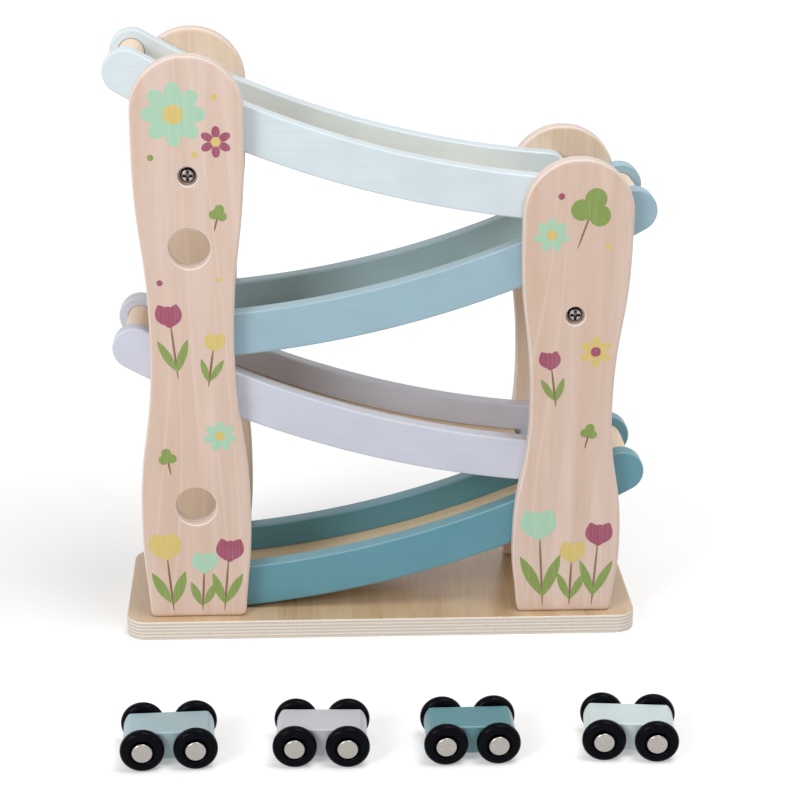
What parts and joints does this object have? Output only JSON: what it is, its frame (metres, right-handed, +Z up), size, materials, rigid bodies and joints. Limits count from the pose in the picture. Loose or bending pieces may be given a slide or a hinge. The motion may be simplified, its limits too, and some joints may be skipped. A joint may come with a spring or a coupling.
{
  "type": "wooden zig-zag car run",
  "caption": "Wooden zig-zag car run: curved painted ramps between wavy plywood posts on a base board drop a little car from one level to the next, with small cars in front.",
  "frame": {"origin": "middle of the base board's underside, on the table", "axes": "+Z up, X along the ramps with the taller posts at -X, -Y towards the cars in front"},
  "size_m": [0.2628, 0.2194, 0.2962],
  "materials": {
    "plywood": "clear-coated birch plywood",
    "post_wood": "clear-coated birch plywood",
    "ramp_1_paint": "satin paint on wood",
    "ramp_2_paint": "satin paint on wood",
    "ramp_3_paint": "satin paint on wood",
    "ramp_4_paint": "satin paint on wood",
    "car_1_paint": "satin paint on wood",
    "car_2_paint": "satin paint on wood",
    "car_3_paint": "satin paint on wood",
    "car_4_paint": "satin paint on wood",
    "wheel_black": "glossy black",
    "axle_steel": "polished",
    "screw_steel": "dark plated"
  },
  "bodies": {
    "track": {"base_board": "plywood", "post_front_left": "post_wood", "post_back_left": "post_wood", "post_front_right": "post_wood", "post_back_right": "post_wood", "post_screw_front_left": "screw_steel", "post_screw_back_left": "screw_steel", "post_screw_front_right": "screw_steel", "post_screw_back_right": "screw_steel", "foot_screw_front_left": "screw_steel", "foot_screw_back_left": "screw_steel", "foot_screw_front_right": "screw_steel", "foot_screw_back_right": "screw_steel", "cross_bar_left": "post_wood", "cross_bar_right": "post_wood", "ramp_1_front_rail": "ramp_1_paint", "ramp_1_back_rail": "ramp_1_paint", "ramp_1_floor": "plywood", "ramp_1_bumper_dowel": "post_wood", "ramp_2_front_rail": "ramp_2_paint", "ramp_2_back_rail": "ramp_2_paint", "ramp_2_floor": "plywood", "ramp_2_bumper_dowel": "post_wood", "ramp_3_front_rail": "ramp_3_paint", "ramp_3_back_rail": "ramp_3_paint", "ramp_3_floor": "plywood", "ramp_3_bumper_dowel": "post_wood", "ramp_4_front_rail": "ramp_4_paint", "ramp_4_back_rail": "ramp_4_paint", "ramp_4_floor": "plywood", "ramp_4_bumper_dowel": "post_wood"},
    "car_1": {"car_1_body": "car_1_paint", "car_1_axle_left": "axle_steel", "car_1_axle_right": "axle_steel"},
    "car_1_wheel_left_near": {"car_1_wheel_left_near": "wheel_black"},
    "car_1_wheel_left_far": {"car_1_wheel_left_far": "wheel_black"},
    "car_1_wheel_right_near": {"car_1_wheel_right_near": "wheel_black"},
    "car_1_wheel_right_far": {"car_1_wheel_right_far": "wheel_black"},
    "car_2": {"car_2_body": "car_2_paint", "car_2_axle_left": "axle_steel", "car_2_axle_right": "axle_steel"},
    "car_2_wheel_left_near": {"car_2_wheel_left_near": "wheel_black"},
    "car_2_wheel_left_far": {"car_2_wheel_left_far": "wheel_black"},
    "car_2_wheel_right_near": {"car_2_wheel_right_near": "wheel_black"},
    "car_2_wheel_right_far": {"car_2_wheel_right_far": "wheel_black"},
    "car_3": {"car_3_body": "car_3_paint", "car_3_axle_left": "axle_steel", "car_3_axle_right": "axle_steel"},
    "car_3_wheel_left_near": {"car_3_wheel_left_near": "wheel_black"},
    "car_3_wheel_left_far": {"car_3_wheel_left_far": "wheel_black"},
    "car_3_wheel_right_near": {"car_3_wheel_right_near": "wheel_black"},
    "car_3_wheel_right_far": {"car_3_wheel_right_far": "wheel_black"},
    "car_4": {"car_4_body": "car_4_paint", "car_4_axle_left": "axle_steel", "car_4_axle_right": "axle_steel"},
    "car_4_wheel_left_near": {"car_4_wheel_left_near": "wheel_black"},
    "car_4_wheel_left_far": {"car_4_wheel_left_far": "wheel_black"},
    "car_4_wheel_right_near": {"car_4_wheel_right_near": "wheel_black"},
    "car_4_wheel_right_far": {"car_4_wheel_right_far": "wheel_black"}
  },
  "joints": [
    {"name": "car_1_lift", "type": "slide", "parent": "track", "child": "car_1", "axis": [0, 0, 1], "range_m": [0, 0.31]},
    {"name": "car_1_spin_left_near", "type": "hinge", "parent": "car_1", "child": "car_1_wheel_left_near", "pos_m": [-0.1133, -0.17071, 0.01], "axis": [-0.0436, 0.999, 0], "continuous": true},
    {"name": "car_1_spin_left_far", "type": "hinge", "parent": "car_1", "child": "car_1_wheel_left_far", "pos_m": [-0.11448, -0.14373, 0.01], "axis": [-0.0436, 0.999, 0], "continuous": true},
    {"name": "car_1_spin_right_near", "type": "hinge", "parent": "car_1", "child": "car_1_wheel_right_near", "pos_m": [-0.08952, -0.16967, 0.01], "axis": [-0.0436, 0.999, 0], "continuous": true},
    {"name": "car_1_spin_right_far", "type": "hinge", "parent": "car_1", "child": "car_1_wheel_right_far", "pos_m": [-0.0907, -0.14269, 0.01], "axis": [-0.0436, 0.999, 0], "continuous": true},
    {"name": "car_2_lift", "type": "slide", "parent": "track", "child": "car_2", "axis": [0, 0, 1], "range_m": [0, 0.31]},
    {"name": "car_2_spin_left_near", "type": "hinge", "parent": "car_2", "child": "car_2_wheel_left_near", "pos_m": [-0.04536, -0.16978, 0.01], "axis": [0.0349, 0.9994, 0], "continuous": true},
    {"name": "car_2_spin_left_far", "type": "hinge", "parent": "car_2", "child": "car_2_wheel_left_far", "pos_m": [-0.04442, -0.14279, 0.01], "axis": [0.0349, 0.9994, 0], "continuous": true},
    {"name": "car_2_spin_right_near", "type": "hinge", "parent": "car_2", "child": "car_2_wheel_right_near", "pos_m": [-0.02158, -0.17061, 0.01], "axis": [0.0349, 0.9994, 0], "continuous": true},
    {"name": "car_2_spin_right_far", "type": "hinge", "parent": "car_2", "child": "car_2_wheel_right_far", "pos_m": [-0.02064, -0.14362, 0.01], "axis": [0.0349, 0.9994, 0], "continuous": true},
    {"name": "car_3_lift", "type": "slide", "parent": "track", "child": "car_3", "axis": [0, 0, 1], "range_m": [0, 0.31]},
    {"name": "car_3_spin_left_near", "type": "hinge", "parent": "car_3", "child": "car_3_wheel_left_near", "pos_m": [0.02272, -0.1703, 0.01], "axis": [-0.0087, 1, 0], "continuous": true},
    {"name": "car_3_spin_left_far", "type": "hinge", "parent": "car_3", "child": "car_3_wheel_left_far", "pos_m": [0.02248, -0.1433, 0.01], "axis": [-0.0087, 1, 0], "continuous": true},
    {"name": "car_3_spin_right_near", "type": "hinge", "parent": "car_3", "child": "car_3_wheel_right_near", "pos_m": [0.04652, -0.1701, 0.01], "axis": [-0.0087, 1, 0], "continuous": true},
    {"name": "car_3_spin_right_far", "type": "hinge", "parent": "car_3", "child": "car_3_wheel_right_far", "pos_m": [0.04628, -0.1431, 0.01], "axis": [-0.0087, 1, 0], "continuous": true},
    {"name": "car_4_lift", "type": "slide", "parent": "track", "child": "car_4", "axis": [0, 0, 1], "range_m": [0, 0.31]},
    {"name": "car_4_spin_left_near", "type": "hinge", "parent": "car_4", "child": "car_4_wheel_left_near", "pos_m": [0.09436, -0.169, 0.01], "axis": [0.0958, 0.9954, 0], "continuous": true},
    {"name": "car_4_spin_left_far", "type": "hinge", "parent": "car_4", "child": "car_4_wheel_left_far", "pos_m": [0.09695, -0.14212, 0.01], "axis": [0.0958, 0.9954, 0], "continuous": true},
    {"name": "car_4_spin_right_near", "type": "hinge", "parent": "car_4", "child": "car_4_wheel_right_near", "pos_m": [0.11805, -0.17128, 0.01], "axis": [0.0958, 0.9954, 0], "continuous": true},
    {"name": "car_4_spin_right_far", "type": "hinge", "parent": "car_4", "child": "car_4_wheel_right_far", "pos_m": [0.12064, -0.1444, 0.01], "axis": [0.0958, 0.9954, 0], "continuous": true}
  ]
}
